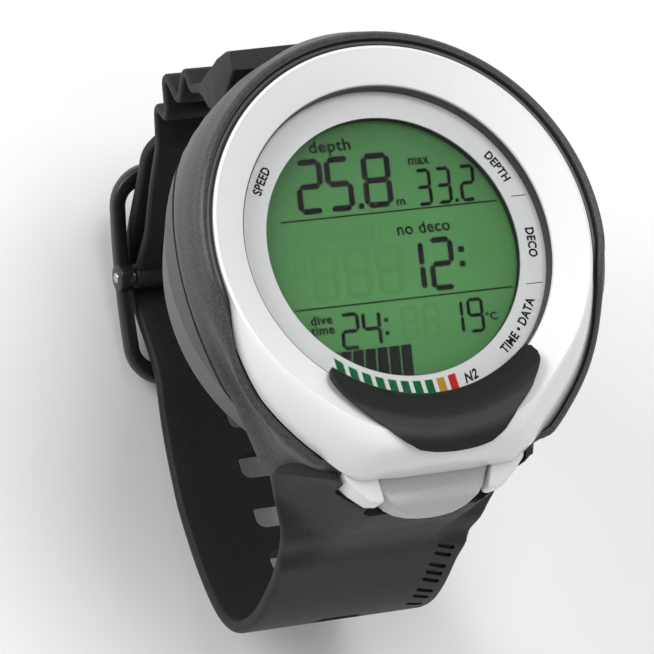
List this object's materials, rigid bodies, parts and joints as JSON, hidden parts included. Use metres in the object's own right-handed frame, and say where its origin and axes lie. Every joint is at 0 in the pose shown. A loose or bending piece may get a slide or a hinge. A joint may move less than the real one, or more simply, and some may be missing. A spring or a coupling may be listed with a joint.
{
  "type": "dive computer",
  "caption": "Round wrist dive computer: dark case, raised white bezel, green segment display in a silver dial ring, one button, pleated rubber strap with a curved buckle.",
  "frame": {"origin": "centre of the flat back of the case, which rests on the wrist", "axes": "+Z out of the dial, +Y towards 12 o'clock, +X towards 3 o'clock"},
  "size_m": [0.0696, 0.0897, 0.0859],
  "materials": {
    "case_plastic": "fine sparkle, matte",
    "bezel_plastic": "glossy white",
    "badge_plastic": "satin black, fine grain",
    "rim_plastic": "satin",
    "button_plastic": "satin light grey",
    "dial_metal": "fine grain",
    "display_film": "satin green-grey",
    "display_glass": "clear",
    "lens_glass": "clear, polished",
    "light_guide": "clear, tinted",
    "frame_plastic": "moulded",
    "seal_rubber": "soft",
    "strap_rubber": "fine grain, matte",
    "buckle_plastic": "satin",
    "steel": "brushed",
    "brass": "plain",
    "board": "green resist",
    "chip": "moulded",
    "component_white": "moulded",
    "component_tan": "moulded"
  },
  "bodies": {
    "case": {"main_case": "case_plastic", "rear_cover": "case_plastic", "case_o_ring": "seal_rubber", "rear_screws": "steel", "bezel": "bezel_plastic", "rim_gasket": "rim_plastic", "badge": "badge_plastic", "lens": "lens_glass", "lens_gasket": "seal_rubber", "dial_ring": "dial_metal", "front_polarizer": "display_film", "front_glass": "display_glass", "rear_glass": "display_glass", "rear_polarizer": "display_film", "backlight_guide": "light_guide", "backlight_leds": "component_white", "display_holder": "frame_plastic", "contact_strips": "seal_rubber", "main_board": "board", "board_screws": "steel", "processor": "chip", "memory_chip": "chip", "crystal": "steel", "capacitors": "component_tan", "buzzer": "brass", "pressure_sensor": "steel", "sensor_o_ring": "seal_rubber", "water_contacts": "steel", "battery": "steel", "plus_contact": "brass", "minus_contact": "brass", "button_spring": "steel", "tact_switch": "component_tan", "lower_strap": "strap_rubber", "lower_strap_pin": "steel", "upper_strap": "strap_rubber", "upper_strap_pin": "steel"},
    "door": {"battery_door": "case_plastic", "door_o_ring": "seal_rubber"},
    "button": {"button_cap": "button_plastic", "button_stem": "steel", "stem_o_ring": "seal_rubber", "stem_clip": "steel"},
    "plunger": {"switch_plunger": "chip"},
    "buckle": {"buckle_frame": "buckle_plastic", "buckle_pin": "steel"},
    "tongue": {"buckle_tongue": "buckle_plastic"}
  },
  "joints": [
    {"name": "button_press", "type": "slide", "parent": "case", "child": "button", "axis": [0, 1, 0], "range_m": [0, 0.0012], "stiffness_N_per_m": 1200, "springref_m": -0.0006, "deforming": ["button_spring"]},
    {"name": "plunger_press", "type": "slide", "parent": "case", "child": "plunger", "axis": [0, 1, 0], "range_m": [0, 0.00025]},
    {"name": "door_turn", "type": "hinge", "parent": "case", "child": "door", "pos_m": [0, 0, 0.001], "axis": [0, 0, 1], "range_deg": [-60, 0]},
    {"name": "buckle_swing", "type": "hinge", "parent": "case", "child": "buckle", "pos_m": [0, 0.0208, -0.0514], "axis": [1, 0, 0], "range_deg": [-1.5, 1.5]},
    {"name": "tongue_swing", "type": "hinge", "parent": "buckle", "child": "tongue", "pos_m": [0, 0.0208, -0.0514], "axis": [1, 0, 0], "range_deg": [0, 18]}
  ],
  "couplings": [
    {"joint": "plunger_press", "follows": "button_press", "ratio": 0.2083}
  ]
}
